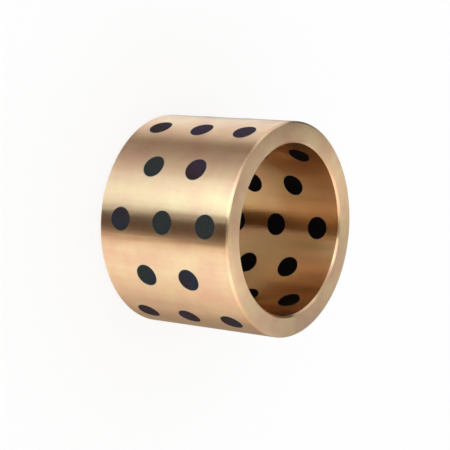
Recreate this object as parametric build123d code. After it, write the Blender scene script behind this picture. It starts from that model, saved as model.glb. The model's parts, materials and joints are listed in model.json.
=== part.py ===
from build123d import *
import os

# Graphite plugged bushing.  A turned bush of high-strength brass is drilled through its wall
# in staggered rows, and every hole holds a plug of solid graphite lubricant.  The bore and the
# outside are finished with the plugs in place, so both ends of a plug are flush with the metal
# and curved as the metal is.
# Millimetres.  The bush stands on its end: Z is its axis and Z = 0 is its lower end face.

# Bush
bore_diameter = 80.0
wall_thickness = 10.0
length = 73.5
bore_chamfer = 0.9
outer_chamfer = 0.9

# Graphite plugs.  Long and short rows alternate round the bush.  A short row has one plug
# fewer than a long one, and its plugs stand halfway between theirs.
plug_diameter = 10.0
glue_line = 0.02
row_pairs = 6
long_row_plugs = 3
end_margin = 12.5

# Sizes that follow from those above
bore_radius = bore_diameter / 2
outer_radius = bore_radius + wall_thickness
mid_wall_radius = bore_radius + wall_thickness / 2
hole_diameter = plug_diameter + 2 * glue_line
plug_spacing = (length - 2 * end_margin) / (long_row_plugs - 1)
row_count = 2 * row_pairs
row_angle = 360 / row_count


def turned_tube():
    """The bush before drilling: its wall section, chamfered and revolved."""
    wall = Pos(mid_wall_radius, length / 2) * Rectangle(wall_thickness, length)
    wall = chamfer(wall.vertices().group_by(Axis.X)[0], bore_chamfer)
    wall = chamfer(wall.vertices().group_by(Axis.X)[-1], outer_chamfer)
    seam_between_rows = Rot(0, 0, row_angle / 2)
    return seam_between_rows * revolve(Plane.XZ * wall, Axis.Z)


def plain_ring():
    """The tube without chamfers, between the two faces that the plugs are finished with."""
    return extrude(Circle(outer_radius) - Circle(bore_radius), length)


def row_places(row):
    """Middle of each plug of a row, lowest first: at half the wall, with local Z outwards."""
    plugs = long_row_plugs - row % 2
    lowest = (length - (plugs - 1) * plug_spacing) / 2
    return [
        Rot(0, 0, row * row_angle)
        * Pos(mid_wall_radius, 0, lowest + number * plug_spacing)
        * Rot(0, 90, 0)
        for number in range(plugs)
    ]


def rod_through_wall(place, diameter):
    """Radial rod that stands out of both faces of the wall, for a hole or an untrimmed plug."""
    return place * Cylinder(diameter / 2, 2 * wall_thickness)


plug_places = {
    f"graphite_plug_{row + 1:02d}_{number + 1}": place
    for row in range(row_count)
    for number, place in enumerate(row_places(row))
}

bush = turned_tube() - [rod_through_wall(place, hole_diameter) for place in plug_places.values()]
ring = plain_ring()

os.makedirs("parts", exist_ok=True)
export_step(bush, "parts/bush_body.step")
for name, place in plug_places.items():
    export_step(ring & rod_through_wall(place, plug_diameter), f"parts/{name}.step")
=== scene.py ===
"""Graphite plugged bushing.

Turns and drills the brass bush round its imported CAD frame, finishes the graphite plugs in
its wall, and sets up the plain studio that it stands in.  Lengths are in metres.
"""

import json
import math

import bpy
from bpy.props import (
    FloatProperty, FloatVectorProperty, IntProperty, PointerProperty,
)
from mathutils import Matrix, Vector


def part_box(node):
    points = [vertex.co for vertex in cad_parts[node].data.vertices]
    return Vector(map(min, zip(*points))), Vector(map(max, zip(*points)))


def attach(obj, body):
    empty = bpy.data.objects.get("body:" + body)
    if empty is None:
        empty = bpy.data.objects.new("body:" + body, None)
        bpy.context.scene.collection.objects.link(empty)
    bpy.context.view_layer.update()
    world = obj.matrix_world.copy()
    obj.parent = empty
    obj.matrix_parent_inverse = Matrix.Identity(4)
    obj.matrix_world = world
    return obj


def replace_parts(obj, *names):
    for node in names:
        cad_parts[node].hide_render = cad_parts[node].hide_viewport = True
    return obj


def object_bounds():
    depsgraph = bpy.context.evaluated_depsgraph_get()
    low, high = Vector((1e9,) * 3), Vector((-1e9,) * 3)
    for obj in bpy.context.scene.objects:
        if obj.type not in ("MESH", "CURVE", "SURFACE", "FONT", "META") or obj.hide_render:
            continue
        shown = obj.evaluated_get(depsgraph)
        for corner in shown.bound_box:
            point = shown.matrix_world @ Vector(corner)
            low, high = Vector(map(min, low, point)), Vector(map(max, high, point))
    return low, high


bl_info = {
    "name": "Graphite Plugged Bushing",
    "version": (1, 0, 0),
    "blender": (4, 5, 0),
    "location": "3D View > Sidebar > Bushing",
    "description": "A turned brass bush with graphite plugs, and its studio",
    "category": "Object",
}

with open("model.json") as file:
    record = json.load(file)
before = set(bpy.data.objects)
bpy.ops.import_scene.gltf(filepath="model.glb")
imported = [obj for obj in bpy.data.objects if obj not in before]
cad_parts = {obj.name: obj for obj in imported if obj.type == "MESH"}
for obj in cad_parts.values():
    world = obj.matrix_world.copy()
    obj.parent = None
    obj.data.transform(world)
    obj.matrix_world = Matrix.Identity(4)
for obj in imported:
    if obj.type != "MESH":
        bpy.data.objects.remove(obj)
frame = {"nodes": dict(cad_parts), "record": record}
CAD_BOX = [list(corner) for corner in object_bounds()]

MM = 0.001
# Points nearer than this are the same.
HAIR = 0.001 * MM
# The middle of a facet lies inside the round by less than this.
FACET_SAG = 0.01 * MM
BODY = "root"
BUSH_NODE = "bush_body"
PLUG_NODES = sorted(name for name in frame["nodes"] if name != BUSH_NODE)
BORE_MOUNT = next(m for m in frame["record"]["mounts"] if m["name"] == "bore")


def middle(node):
    """Middle of a CAD node's box."""
    low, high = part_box(node)
    return (low + high) / 2


# Rows of three plugs and of two take turns round the bush.
ROWS = len({name.rsplit("_", 1)[0] for name in PLUG_NODES})
PLUG_SPACING = middle("graphite_plug_01_2").z - middle("graphite_plug_01_1").z
# Share of its grey that graphite keeps in the bore: painted shade, which darkens the inner plug
# ends and the graphite film round the plugs in the bore.
BORE_SHADE = 0.05


def linear(hex_colour):
    """Linear RGB of an sRGB hex colour."""
    channels = [int(hex_colour[i:i + 2], 16) / 255 for i in (0, 2, 4)]
    return [c / 12.92 if c <= 0.04045 else ((c + 0.055) / 1.055) ** 2.4 for c in channels]


def length(name, description, millimetres):
    """A length that a user may change."""
    return FloatProperty(
        name=name, description=description, default=millimetres * MM, min=0.0,
        unit="LENGTH", subtype="DISTANCE", precision=5,
    )


def colour(name, description, hex_colour):
    """A colour that a user may change."""
    return FloatVectorProperty(
        name=name, description=description, default=linear(hex_colour),
        size=3, min=0.0, max=1.0, subtype="COLOR",
    )


def share(name, description, value):
    """A number from 0 to 1 that a user may change."""
    return FloatProperty(
        name=name, description=description, default=value, min=0.0, max=1.0, subtype="FACTOR",
    )


class BushSizes(bpy.types.PropertyGroup):
    """Sizes of the bush and of the holes drilled in it."""

    outside_diameter: length("Outside Diameter", "Over the turned outside", 2000 * CAD_BOX[1][0])
    bore_diameter: length("Bore Diameter", "Finished bore", 2 * BORE_MOUNT["dims"]["r_mm"])
    overall_length: length("Length", "From end face to end face", 1000 * CAD_BOX[1][2])
    chamfer: length("Chamfer", "Leg of the 45 degree chamfers at both ends", 0.9)
    edge_break: length("Edge Break", "Rounding left on the corners of the chamfers", 0.1)
    hole_diameter: length("Hole Diameter", "Drilled for a plug and its glue line", 10.04)
    facets: IntProperty(
        name="Facets", description="Facets round the bush", default=720, min=90, max=1440,
    )
    hole_facets: IntProperty(
        name="Hole Facets", description="Facets round a hole", default=64, min=16, max=128,
    )


class BushFinishes(bpy.types.PropertyGroup):
    """Colours and roughness of the machined brass and the graphite."""

    turned_colour: colour(
        "Turned Brass", "Colour of the outside, the end faces and the chamfers", "F0CDA9")
    bored_colour: colour(
        "Bored Brass", "Colour of the bore, which keeps a graphite film", "DBB281")
    graphite_colour: colour("Graphite", "Colour of the plug ends", "302E30")
    outside_roughness: share("Outside Roughness", "Roughness of the turned outside", 0.39)
    bore_roughness: share("Bore Roughness", "Roughness of the bored surface", 0.25)
    face_roughness: share("Face Roughness", "Roughness of the faced ends", 0.31)
    chamfer_roughness: share("Chamfer Roughness", "Roughness of the chamfers", 0.38)


class StudioSizes(bpy.types.PropertyGroup):
    """Camera, floor and tent."""

    camera_place: FloatVectorProperty(
        name="Camera Place", description="Where the camera stands", size=3,
        default=(0.62683, -0.03165, 0.49885), unit="LENGTH", subtype="XYZ", precision=5,
    )
    camera_aim: FloatVectorProperty(
        name="Camera Aim", description="Point at the middle of the picture", size=3,
        default=(0.00081, 0.00077, 0.03571), unit="LENGTH", subtype="XYZ", precision=5,
    )
    camera_roll: FloatProperty(
        name="Camera Roll", description="Turn about the line of sight, so the bush lies down",
        default=math.radians(95.6), unit="ROTATION", subtype="ANGLE",
    )
    camera_lens: FloatProperty(
        name="Focal Length", description="In millimetres, for a 36 mm sensor",
        default=131.775, min=1.0,
    )
    floor_size: length("Floor Size", "Side of the square floor", 12000)
    tent_radius: length("Tent Radius", "Radius of the light tent", 2000)


def settings():
    """The scene's bushing settings."""
    return bpy.context.scene.bushing_settings


def deselect_all():
    """Leaves object mode with nothing selected, so an operator acts on its own piece only."""
    if bpy.context.object and bpy.context.object.mode != "OBJECT":
        bpy.ops.object.mode_set(mode="OBJECT")
    bpy.ops.object.select_all(action="DESELECT")


def settle(piece):
    """Puts a piece's place into its mesh and its origin at the world's."""
    bpy.ops.object.transform_apply(location=True, rotation=True, scale=True)
    return piece


def add_node(tree, kind, inputs=None, **properties):
    """Adds a shader node, sets its properties, and sets or links its inputs."""
    node = tree.nodes.new("ShaderNode" + kind)
    for name, value in properties.items():
        setattr(node, name, value)
    for socket, value in (inputs or {}).items():
        if isinstance(value, bpy.types.NodeSocket):
            tree.links.new(value, node.inputs[socket])
        else:
            node.inputs[socket].default_value = value
    return node


def tinted(base, tint):
    """A base colour times a tint, as a node takes it."""
    return (*[min(1.0, c * k) for c, k in zip(base, tint)], 1.0)


def new_material(name):
    """An empty node material and its node tree."""
    material = bpy.data.materials.new(name)
    material.use_nodes = True
    material.node_tree.nodes.clear()
    return material, material.node_tree


# Multiplied with a point, this leaves its offset from the axis.
OFF_AXIS = (1.0, 1.0, 0.0)

# The tool leaves a mark about every 0.2 mm.  They are drawn at 0.8 mm, and at 0.4 mm on the
# narrow chamfers, so that they show.
MARK_SPACING, MARK_DEPTH = 0.8 * MM, 0.0015 * MM
FINE_MARK_SPACING, FINE_MARK_DEPTH = 0.4 * MM, 0.0005 * MM
# Wiping along the bush leaves streaks about 3 mm wide and 40 mm long.
STREAK_WIDTH, STREAK_DEPTH = 3 * MM, 0.05 * MM
STREAK_SHAPE = (1.0, 1.0, 0.08)
# Handling leaves the polish a little uneven, in patches.
PATCH_WIDTH = 12 * MM
# Shares of the marks and of the streaks in the unevenness.  The patches make up the rest.
MARKS_SHARE, STREAKS_SHARE = 0.06, 0.3
# The part of the mixed noise that is spread over the whole swing of the polish.
UNEVEN_LOW, UNEVEN_HIGH = 0.38, 0.62
ROUGHNESS_SWING = 0.06
# Where the polish is duller the brass looks pinker, and where it is brighter, yellower.
DULL_TINT, BRIGHT_TINT = (0.975, 0.905, 0.945), (1.035, 1.10, 1.055)
# The finishing cut smears a matt film of graphite 0.45 mm past the edge of each plug.
SMEAR_START, SMEAR_END, SMEAR_ROUGHNESS = 0.4 * MM, 0.5 * MM, 0.7
# Round the film a pale line about 0.4 mm wide is painted, a painted highlight where the edge of
# the hole catches light.  The glue itself fills 0.02 mm round each plug.
RIM_HIGHLIGHT_START, RIM_HIGHLIGHT_END, RIM_HIGHLIGHT_COLOUR = 0.7 * MM, 0.9 * MM, "DCCDB6"

# Grains of graphite are 0.1 mm or less, drawn at 0.6 mm so that they show.
GRAIN_WIDTH, GRAIN_RELIEF = 0.6 * MM, 0.006 * MM
GRAIN_LOW, GRAIN_HIGH = 0.3, 0.7
# Each plug comes from its own pressing, so its grey leans to green, blue, brown or purple.
# The noise that draws it changes over about 25 mm, which is more than a plug is wide.
PRESSING_SCALE, PRESSING_DRAW = 40.31, 0.2646
PRESSING_TINTS = (
    (0.36, (0.88, 1.12, 0.98)), (0.45, (0.78, 0.97, 1.32)),
    (0.55, (1.15, 0.68, 0.58)), (0.64, (1.25, 0.85, 1.35)),
)


def past_plug(tree, coords, radius):
    """How far a point of the wall lies past the edge of the nearest hole, in metres."""
    sizes = settings().sizes
    place = add_node(tree, "SeparateXYZ", {0: coords})
    angle = add_node(tree, "Math", {0: place.outputs["Y"], 1: place.outputs["X"]},
                     operation="ARCTAN2").outputs[0]
    row_angle = 2 * math.pi / ROWS
    from_row = add_node(tree, "Math", {0: angle, 1: row_angle / 2, 2: -row_angle / 2},
                        operation="WRAP").outputs[0]
    from_long_row = add_node(tree, "Math", {0: angle, 1: row_angle, 2: -row_angle},
                             operation="WRAP").outputs[0]
    off_row = add_node(tree, "Math", {0: from_long_row}, operation="ABSOLUTE").outputs[0]
    in_short_row = add_node(tree, "Math", {0: off_row, 1: row_angle / 2},
                            operation="GREATER_THAN").outputs[0]
    sine = add_node(tree, "Math", {0: from_row}, operation="SINE").outputs[0]
    sideways = add_node(tree, "Math", {0: sine, 1: radius}, operation="MULTIPLY").outputs[0]
    above_middle = add_node(tree, "Math", {0: place.outputs["Z"], 1: sizes.overall_length / 2},
                            operation="SUBTRACT").outputs[0]
    from_middle = add_node(tree, "Math", {0: above_middle}, operation="ABSOLUTE").outputs[0]
    to_end_plug = add_node(tree, "Math", {0: from_middle, 1: PLUG_SPACING},
                           operation="SUBTRACT").outputs[0]
    from_end_plug = add_node(tree, "Math", {0: to_end_plug}, operation="ABSOLUTE").outputs[0]
    along_long = add_node(tree, "Math", {0: from_middle, 1: from_end_plug},
                          operation="MINIMUM").outputs[0]
    along_short = add_node(tree, "Math", {0: from_middle, 1: PLUG_SPACING / 2},
                           operation="SUBTRACT").outputs[0]
    along = add_node(tree, "Mix", {"Factor": in_short_row, "A": along_long, "B": along_short})
    offset = add_node(tree, "CombineXYZ", {"X": sideways, "Y": along.outputs["Result"]})
    distance = add_node(tree, "VectorMath", {0: offset.outputs["Vector"]}, operation="LENGTH")
    return add_node(tree, "Math", {0: distance.outputs["Value"], 1: sizes.hole_diameter / 2},
                    operation="SUBTRACT").outputs[0]


def turned_brass(name, base, roughness, anisotropy, mark_spacing, mark_depth,
                 streak_depth=0.0, film=None, glue=0.0):
    """High-strength brass cut on a lathe.  The tool's marks run round the axis, so a highlight
    is drawn out along the bush and stays narrow round it.  film is the colour of the
    graphite smeared round the plugs, and glue is how strongly a pale line painted round the
    film shows: a painted highlight where the edge of each hole catches light."""
    material, tree = new_material(name)
    coords = add_node(tree, "TexCoord").outputs["Object"]
    across = add_node(tree, "VectorMath", {0: coords, 1: OFF_AXIS}, operation="MULTIPLY")
    radius = add_node(tree, "VectorMath", {0: across.outputs[0]}, operation="LENGTH")
    height = add_node(tree, "SeparateXYZ", {0: coords})
    # The tool moves along the axis on the walls and along the radius on the end faces.
    tool_travel = add_node(
        tree, "Math", {0: radius.outputs["Value"], 1: height.outputs["Z"]}, operation="ADD")
    marks = add_node(
        tree, "TexNoise",
        {"W": tool_travel.outputs[0], "Scale": 1 / mark_spacing, "Detail": 3.0, "Roughness": 0.6},
        noise_dimensions="1D")
    drawn_out = add_node(tree, "VectorMath", {0: coords, 1: STREAK_SHAPE}, operation="MULTIPLY")
    streaks = add_node(
        tree, "TexNoise",
        {"Vector": drawn_out.outputs[0], "Scale": 1 / STREAK_WIDTH, "Detail": 2.0})
    patches = add_node(
        tree, "TexNoise", {"Vector": coords, "Scale": 1 / PATCH_WIDTH, "Detail": 2.0})
    streaked = STREAKS_SHARE if streak_depth else 0.0
    patched = 1 - MARKS_SHARE - streaked
    unevenness = 0.0
    for noise, amount in ((marks, MARKS_SHARE), (streaks, streaked), (patches, patched)):
        unevenness = add_node(
            tree, "Math", {0: noise.outputs["Fac"], 1: amount, 2: unevenness},
            operation="MULTIPLY_ADD").outputs[0]
    unevenness = add_node(
        tree, "MapRange", {"Value": unevenness, "From Min": UNEVEN_LOW, "From Max": UNEVEN_HIGH}
    ).outputs["Result"]
    tint = add_node(
        tree, "Mix",
        {"Factor": unevenness, "A": tinted(base, DULL_TINT), "B": tinted(base, BRIGHT_TINT)},
        data_type="RGBA")
    polish = add_node(
        tree, "MapRange",
        {"Value": unevenness, "To Min": roughness * (1 + ROUGHNESS_SWING),
         "To Max": roughness * (1 - ROUGHNESS_SWING)})
    waves = add_node(
        tree, "Bump",
        {"Height": streaks.outputs["Fac"], "Distance": streak_depth, "Strength": 1.0})
    relief = add_node(
        tree, "Bump", {"Height": marks.outputs["Fac"], "Distance": mark_depth, "Strength": 1.0,
                       "Normal": waves.outputs["Normal"]})
    lay = add_node(tree, "Tangent", direction_type="RADIAL", axis="Z")
    shade, metallic, gloss = tint.outputs["Result"], 1.0, polish.outputs["Result"]
    if film:
        past = past_plug(tree, coords, radius.outputs["Value"])
        # A pale line painted round the film: a painted highlight where the edge of each hole
        # catches light.
        line = add_node(
            tree, "MapRange", {"Value": past, "From Min": RIM_HIGHLIGHT_START, "From Max": RIM_HIGHLIGHT_END,
                               "To Min": glue, "To Max": 0.0})
        shade = add_node(
            tree, "Mix", {"Factor": line.outputs["Result"], "A": shade,
                          "B": (*linear(RIM_HIGHLIGHT_COLOUR), 1.0)}, data_type="RGBA").outputs["Result"]
        smear = add_node(
            tree, "MapRange", {"Value": past, "From Min": SMEAR_START, "From Max": SMEAR_END,
                               "To Min": 1.0, "To Max": 0.0}).outputs["Result"]
        shade = add_node(
            tree, "Mix", {"Factor": smear, "A": shade, "B": (*film, 1.0)},
            data_type="RGBA").outputs["Result"]
        gloss = add_node(
            tree, "Mix", {"Factor": smear, "A": gloss, "B": SMEAR_ROUGHNESS}).outputs["Result"]
        metallic = add_node(
            tree, "Math", {0: 1.0, 1: smear}, operation="SUBTRACT").outputs[0]
    # A quarter turn of the anisotropy draws the highlight out across the marks.
    metal = add_node(
        tree, "BsdfPrincipled",
        {"Base Color": shade, "Metallic": metallic, "Roughness": gloss,
         "Specular IOR Level": 0.12, "Anisotropic": anisotropy,
         "Anisotropic Rotation": 0.25, "Normal": relief.outputs["Normal"],
         "Tangent": lay.outputs["Tangent"]})
    add_node(tree, "OutputMaterial", {"Surface": metal.outputs["BSDF"]})
    return material


def sintered_graphite(name, base, bore_radius, outer_radius):
    """Solid graphite lubricant, pressed and sintered, then turned flush with the metal: near
    black and dull, with fine grains and a soft sheen."""
    material, tree = new_material(name)
    coords = add_node(tree, "TexCoord").outputs["Object"]
    grains = add_node(
        tree, "TexNoise", {"Vector": coords, "Scale": 1 / GRAIN_WIDTH, "Detail": 3.0})
    pressing = add_node(
        tree, "TexNoise",
        {"Vector": coords, "W": PRESSING_DRAW, "Scale": PRESSING_SCALE, "Detail": 0.0},
        noise_dimensions="4D")
    lean = add_node(tree, "ValToRGB", {"Fac": pressing.outputs["Fac"]})
    leans = lean.color_ramp.elements
    for position, tint in PRESSING_TINTS:
        leans.new(position).color = tinted(base, tint)
    leans.remove(leans[0])
    leans.remove(leans[-1])
    # The inner ends are painted darker than the outer ones, as painted shade in the bore: the
    # grey falls from its full share at the outside to a small share at the bore.
    across = add_node(tree, "VectorMath", {0: coords, 1: OFF_AXIS}, operation="MULTIPLY")
    radius = add_node(tree, "VectorMath", {0: across.outputs[0]}, operation="LENGTH")
    painted_bore_shade = add_node(
        tree, "MapRange", {"Value": radius.outputs["Value"], "From Min": bore_radius,
                           "From Max": outer_radius, "To Min": BORE_SHADE, "To Max": 1.0})
    speckle = add_node(
        tree, "MapRange",
        {"Value": grains.outputs["Fac"], "From Min": GRAIN_LOW, "From Max": GRAIN_HIGH,
         "To Min": 0.75, "To Max": 1.3})
    strength = add_node(
        tree, "Math", {0: speckle.outputs["Result"], 1: painted_bore_shade.outputs["Result"]},
        operation="MULTIPLY")
    shade = add_node(
        tree, "VectorMath", {0: lean.outputs["Color"], "Scale": strength.outputs[0]},
        operation="SCALE")
    sheen = add_node(
        tree, "MapRange",
        {"Value": grains.outputs["Fac"], "From Min": GRAIN_LOW, "From Max": GRAIN_HIGH,
         "To Min": 0.75, "To Max": 0.6})
    relief = add_node(
        tree, "Bump",
        {"Height": grains.outputs["Fac"], "Distance": GRAIN_RELIEF, "Strength": 1.0})
    surface = add_node(
        tree, "BsdfPrincipled",
        {"Base Color": shade.outputs["Vector"], "Roughness": sheen.outputs["Result"],
         "IOR": 1.12, "Normal": relief.outputs["Normal"]})
    add_node(tree, "OutputMaterial", {"Surface": surface.outputs["BSDF"]})
    return material


class BUSHING_OT_turn_bush(bpy.types.Operator):
    """Turn the brass bush, chamfer it and drill it for the plugs"""

    bl_idname = "bushing.turn_bush"
    bl_label = "Turn and Drill the Bush"
    bl_options = {"REGISTER", "UNDO"}

    def execute(self, context):
        sizes = settings().sizes
        bush = self.turn(sizes)
        self.drill(bush, sizes)
        self.finish(bush, sizes)
        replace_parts(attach(bush, BODY), BUSH_NODE)
        return {"FINISHED"}

    @staticmethod
    def turn(sizes):
        """The wall's section, chamfered and spun round the axis."""
        deselect_all()
        bore, outside = sizes.bore_diameter / 2, sizes.outside_diameter / 2
        bpy.ops.mesh.primitive_plane_add(
            size=1, rotation=(math.pi / 2, 0, 0),
            location=((bore + outside) / 2, 0, sizes.overall_length / 2))
        bush = bpy.context.object
        bush.name = bush.data.name = "brass_bush"
        bush.scale = (outside - bore, sizes.overall_length, 1)
        settle(bush)
        bpy.ops.object.mode_set(mode="EDIT")
        bpy.ops.mesh.select_all(action="SELECT")
        bpy.ops.mesh.bevel(offset=sizes.chamfer, affect="VERTICES")
        bpy.ops.mesh.select_all(action="SELECT")
        bpy.ops.mesh.bevel(offset=sizes.edge_break, segments=3, affect="VERTICES")
        bpy.ops.mesh.delete(type="ONLY_FACE")
        bpy.ops.mesh.select_all(action="SELECT")
        bpy.ops.mesh.spin(
            steps=sizes.facets, angle=2 * math.pi, center=(0, 0, 0), axis=(0, 0, 1))
        bpy.ops.mesh.select_all(action="SELECT")
        bpy.ops.mesh.remove_doubles(threshold=HAIR)
        bpy.ops.mesh.normals_make_consistent(inside=False)
        bpy.ops.object.mode_set(mode="OBJECT")
        return bush

    @staticmethod
    def drill(bush, sizes):
        """Radial holes through the wall, one round each CAD plug."""
        deselect_all()
        bore, outside = sizes.bore_diameter / 2, sizes.outside_diameter / 2
        bpy.ops.mesh.primitive_cylinder_add(
            vertices=sizes.hole_facets, radius=sizes.hole_diameter / 2,
            depth=2 * (outside - bore), rotation=(0, math.pi / 2, 0),
            location=((bore + outside) / 2, 0, 0))
        drill = settle(bpy.context.object)
        for node in PLUG_NODES:
            place = middle(node)
            cutter = drill.copy()
            cutter.data = drill.data.copy()
            cutter.data.transform(
                Matrix.Translation((0, 0, place.z))
                @ Matrix.Rotation(math.atan2(place.y, place.x), 4, "Z"))
            bpy.context.scene.collection.objects.link(cutter)
            cutter.select_set(True)
        drill.select_set(False)
        bpy.data.objects.remove(drill)
        bpy.context.view_layer.objects.active = cutter
        bpy.ops.object.join()
        deselect_all()
        bpy.context.view_layer.objects.active = bush
        bush.select_set(True)
        holes = bush.modifiers.new("Holes", "BOOLEAN")
        holes.operation, holes.solver, holes.object = "DIFFERENCE", "EXACT", cutter
        bpy.ops.object.modifier_apply(modifier=holes.name)
        bpy.data.objects.remove(cutter)

    @staticmethod
    def finish(bush, sizes):
        """A finish for each machined surface, and smooth shading round the axis only."""
        looks = settings().finishes
        bush.data.materials.clear()
        for material in (
            turned_brass("turned_high_strength_brass", looks.turned_colour,
                         looks.outside_roughness, 0.97, MARK_SPACING, MARK_DEPTH,
                         streak_depth=STREAK_DEPTH, film=looks.graphite_colour, glue=1.0),
            # In the bore the graphite film round the plugs is darkened with the same painted
            # shade as the inner plug ends.
            turned_brass("bored_high_strength_brass", looks.bored_colour,
                         looks.bore_roughness, 0.90, MARK_SPACING, MARK_DEPTH,
                         streak_depth=STREAK_DEPTH,
                         film=[BORE_SHADE * c for c in looks.graphite_colour]),
            turned_brass("faced_high_strength_brass", looks.turned_colour,
                         looks.face_roughness, 0.90, MARK_SPACING, MARK_DEPTH),
            turned_brass("chamfered_high_strength_brass", looks.turned_colour,
                         looks.chamfer_roughness, 0.90, FINE_MARK_SPACING, FINE_MARK_DEPTH),
        ):
            bush.data.materials.append(material)
        turned, bored, faced, chamfered = range(4)
        for face in bush.data.polygons:
            radius = math.hypot(face.center.x, face.center.y)
            from_end = min(face.center.z, sizes.overall_length - face.center.z)
            if from_end < HAIR:
                face.material_index = faced
            elif from_end < sizes.chamfer:
                face.material_index = chamfered
            elif radius > sizes.outside_diameter / 2 - FACET_SAG:
                face.material_index = turned
            else:
                face.material_index = bored
        deselect_all()
        bpy.context.view_layer.objects.active = bush
        bush.select_set(True)
        bpy.ops.object.shade_smooth_by_angle(angle=math.radians(10))


class BUSHING_OT_finish_plugs(bpy.types.Operator):
    """Give the plugs their graphite"""

    bl_idname = "bushing.finish_plugs"
    bl_label = "Finish the Graphite Plugs"
    bl_options = {"REGISTER", "UNDO"}

    def execute(self, context):
        sizes, looks = settings().sizes, settings().finishes
        graphite = sintered_graphite(
            "sintered_graphite", looks.graphite_colour,
            sizes.bore_diameter / 2, sizes.outside_diameter / 2)
        for node in PLUG_NODES:
            for slot in frame["nodes"][node].material_slots:
                slot.material = graphite
        return {"FINISHED"}


# Panels of the light tent, by azimuth from +X towards +Y and by elevation, in degrees, with the
# brightness and the tint of each.  Where two overlap the first holds.  The tent shows in
# reflections alone, and what it leaves open shows the white background.
TENT = (
    ("black_flag", -5, 20, -90, 90, 0.04, "FF8C3C"),
    ("warm_edge", 20, 25, -30, 90, 1.2, "FFDDBE"),
    ("warm_foot", 20, 30, -90, -50, 0.69, "FFE6C0"),
    ("skirt", -90, 110, -50, -30, 0.32, "FFEEE0"),
    ("flag_edge", -10, -5, -30, 90, 0.48, "FFDACC"),
    ("key_lower", -30, -10, -10, 15, 4.9, "DEFCFF"),
    ("key_upper", -30, -10, 15, 50, 2.65, "F2FFF8"),
    ("key_middle", -45, -30, -10, 50, 3.25, "EAF8FF"),
    ("key_top", -45, -10, 50, 90, 0.72, "F8FFF0"),
    ("key_low", -45, -10, -30, -10, 0.16, "FFFFFF"),
    ("left_strip", -60, -45, -10, 90, 1.3, "FFFFFC"),
    ("left_grey", -75, -60, -10, 90, 0.67, "FFF8FA"),
    ("left_low", -75, -45, -30, -10, 0.2, "FFECEC"),
    ("left_flag", -90, -75, -30, 90, 0.17, "FFDEC2"),
    ("side_flag", -95, -90, -30, 90, 0.7, "FFFFFF"),
    ("fill_box", 25, 60, -10, 50, 1.72, "FFFDF6"),
    ("fill_low", 25, 60, -30, -10, 1.45, "E8F9FF"),
    ("fill_top", 25, 60, 50, 90, 0.8, "FFEED8"),
    ("fill_side", 60, 85, -10, 50, 1.6, "FFF4E6"),
    ("fill_under", 20, 110, -90, -50, 1.7, "FFF6E4"),
    ("right_grey", 85, 110, -10, 50, 0.84, "FFE9CE"),
    ("right_edge", 110, 125, -10, 50, 0.5, "FFFAEA"),
    ("right_low", 105, 130, -50, -10, 0.36, "FFF2E2"),
    ("back_crown", 125, 165, 50, 90, 1.9, "FFFFF4"),
    ("back_middle", 125, 155, -10, 15, 0.45, "FFFFFF"),
    ("back_slit", 155, 170, -10, 50, 0.38, "FFFCFF"),
    ("back_flat", 170, 190, -10, 50, 0.66, "FFFFF6"),
    ("rim_light", 210, 235, -50, -10, 1.68, "D8EBFF"),
    ("back_dim", 130, 150, -50, -10, 0.1, "FFE8DC"),
    ("back_low", 125, 210, -90, -10, 0.43, "FFF4E8"),
    ("back_top", 165, 225, 50, 90, 0.2, "FFFAE0"),
    ("back_flag", 190, 225, -30, 50, 0.02, "FFD0C8"),
    ("side_low", 240, 270, -90, -30, 0.42, "FFEEE6"),
)


# Share of the paper that glows, so that it is white all over.  The rest takes a soft shadow.
PAPER_GLOW = 0.75


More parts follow.
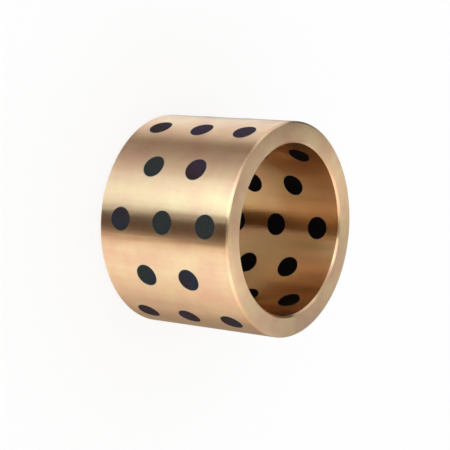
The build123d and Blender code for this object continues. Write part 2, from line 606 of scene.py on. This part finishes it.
class BUSHING_OT_set_stage(bpy.types.Operator):
    """Set up the camera, the floor, the white background and the light tent"""

    bl_idname = "bushing.set_stage"
    bl_label = "Set the Stage"
    bl_options = {"REGISTER", "UNDO"}

    def execute(self, context):
        studio = settings().studio
        scene = context.scene
        scene.view_settings.view_transform = "Standard"
        scene.world = self.white_world()
        self.camera(scene, studio)
        self.floor(studio)
        self.tent(studio)
        return {"FINISHED"}

    @staticmethod
    def white_world():
        """White background, which lights everything evenly from all sides."""
        world = bpy.data.worlds.new("white_background")
        world.use_nodes = True
        world.node_tree.nodes["Background"].inputs["Color"].default_value = (1, 1, 1, 1)
        world.node_tree.nodes["Background"].inputs["Strength"].default_value = 1
        # Sampled as a light, it would reach the metal through the tent.
        world.cycles.sampling_method = "NONE"
        return world

    @staticmethod
    def camera(scene, studio):
        """The camera, rolled so that the standing bush lies on its side in the picture."""
        camera = bpy.data.objects.new("camera", bpy.data.cameras.new("camera"))
        scene.collection.objects.link(camera)
        camera.data.lens = studio.camera_lens
        camera.data.sensor_width = 36
        place, aim = Vector(studio.camera_place), Vector(studio.camera_aim)
        upright = (aim - place).to_track_quat("-Z", "Y").to_matrix().to_4x4()
        camera.matrix_world = (
            Matrix.Translation(place) @ upright @ Matrix.Rotation(studio.camera_roll, 4, "Z"))
        scene.camera = camera

    @staticmethod
    def floor(studio):
        """Plain white floor."""
        deselect_all()
        bpy.ops.mesh.primitive_plane_add(size=studio.floor_size)
        floor = bpy.context.object
        floor.name = floor.data.name = "floor"
        floor.visible_glossy = False
        material, tree = new_material("white_paper")
        paper = add_node(tree, "BsdfDiffuse", {"Color": (*linear("FCFCFC"), 1)})
        glow = add_node(tree, "Emission", {"Color": (1, 1, 1, 1), "Strength": 1.0})
        rays = add_node(tree, "LightPath")
        shown = rays.outputs["Is Camera Ray"]
        for ray in ("Is Glossy Ray", "Is Transmission Ray"):
            shown = add_node(
                tree, "Math", {0: shown, 1: rays.outputs[ray]}, operation="MAXIMUM").outputs[0]
        whiter = add_node(tree, "Math", {0: shown, 1: PAPER_GLOW}, operation="MULTIPLY")
        both = add_node(
            tree, "MixShader", {0: whiter.outputs[0], 1: paper.outputs[0], 2: glow.outputs[0]})
        add_node(tree, "OutputMaterial", {"Surface": both.outputs[0]})
        floor.data.materials.append(material)

    @staticmethod
    def tent(studio):
        """The light tent: one sphere, with a glow for each panel and without its open parts."""
        deselect_all()
        centre = Vector((0, 0, CAD_BOX[1][2] / 2))
        bpy.ops.mesh.primitive_uv_sphere_add(
            segments=72, ring_count=36, radius=studio.tent_radius, location=centre)
        tent = settle(bpy.context.object)
        tent.name = tent.data.name = "light_tent"
        for name, *_, brightness, tint in TENT:
            material, tree = new_material("tent_" + name)
            glow = add_node(
                tree, "Emission", {"Color": (*linear(tint), 1), "Strength": brightness})
            add_node(tree, "OutputMaterial", {"Surface": glow.outputs[0]})
            material.cycles.emission_sampling = "NONE"
            tent.data.materials.append(material)
        bpy.ops.object.mode_set(mode="EDIT")
        bpy.ops.mesh.select_mode(type="FACE")
        bpy.ops.mesh.select_all(action="DESELECT")
        bpy.ops.object.mode_set(mode="OBJECT")
        for face in tent.data.polygons:
            out = face.center - centre
            azimuth = math.degrees(math.atan2(out.y, out.x))
            elevation = math.degrees(math.asin(out.z / out.length))
            panels = [
                number for number, (_, start, end, low, high, *_) in enumerate(TENT)
                if (azimuth - start) % 360 < end - start and low < elevation < high]
            face.material_index = panels[0] if panels else 0
            face.select = not panels
        bpy.ops.object.mode_set(mode="EDIT")
        bpy.ops.mesh.delete(type="FACE")
        bpy.ops.object.mode_set(mode="OBJECT")
        tent.visible_camera = tent.visible_diffuse = tent.visible_shadow = False


class BushingSettings(bpy.types.PropertyGroup):
    """Everything that a user may change."""

    sizes: PointerProperty(type=BushSizes, name="Sizes", description="Sizes of the bush")
    finishes: PointerProperty(
        type=BushFinishes, name="Finishes", description="Colours and roughness")
    studio: PointerProperty(type=StudioSizes, name="Studio", description="Camera, floor and tent")


class VIEW3D_PT_plugged_bushing(bpy.types.Panel):
    """Sizes, finishes and operators of the plugged bushing"""

    bl_idname = "VIEW3D_PT_plugged_bushing"
    bl_label = "Graphite Plugged Bushing"
    bl_space_type = "VIEW_3D"
    bl_region_type = "UI"
    bl_category = "Bushing"

    def draw(self, context):
        for group, operator in (
            (settings().sizes, BUSHING_OT_turn_bush),
            (settings().finishes, BUSHING_OT_finish_plugs),
            (settings().studio, BUSHING_OT_set_stage),
        ):
            box = self.layout.box()
            for name in group.__annotations__:
                box.prop(group, name)
            box.operator(operator.bl_idname)


CLASSES = (
    BushSizes, BushFinishes, StudioSizes, BushingSettings,
    BUSHING_OT_turn_bush, BUSHING_OT_finish_plugs, BUSHING_OT_set_stage,
    VIEW3D_PT_plugged_bushing,
)


def register():
    for cls in CLASSES:
        bpy.utils.register_class(cls)
    bpy.types.Scene.bushing_settings = PointerProperty(type=BushingSettings)


def unregister():
    del bpy.types.Scene.bushing_settings
    for cls in reversed(CLASSES):
        bpy.utils.unregister_class(cls)


def main():
    """Builds the part and its stage."""
    register()
    bpy.ops.bushing.turn_bush()
    bpy.ops.bushing.finish_plugs()
    bpy.ops.bushing.set_stage()


if __name__ == "__main__":
    main()
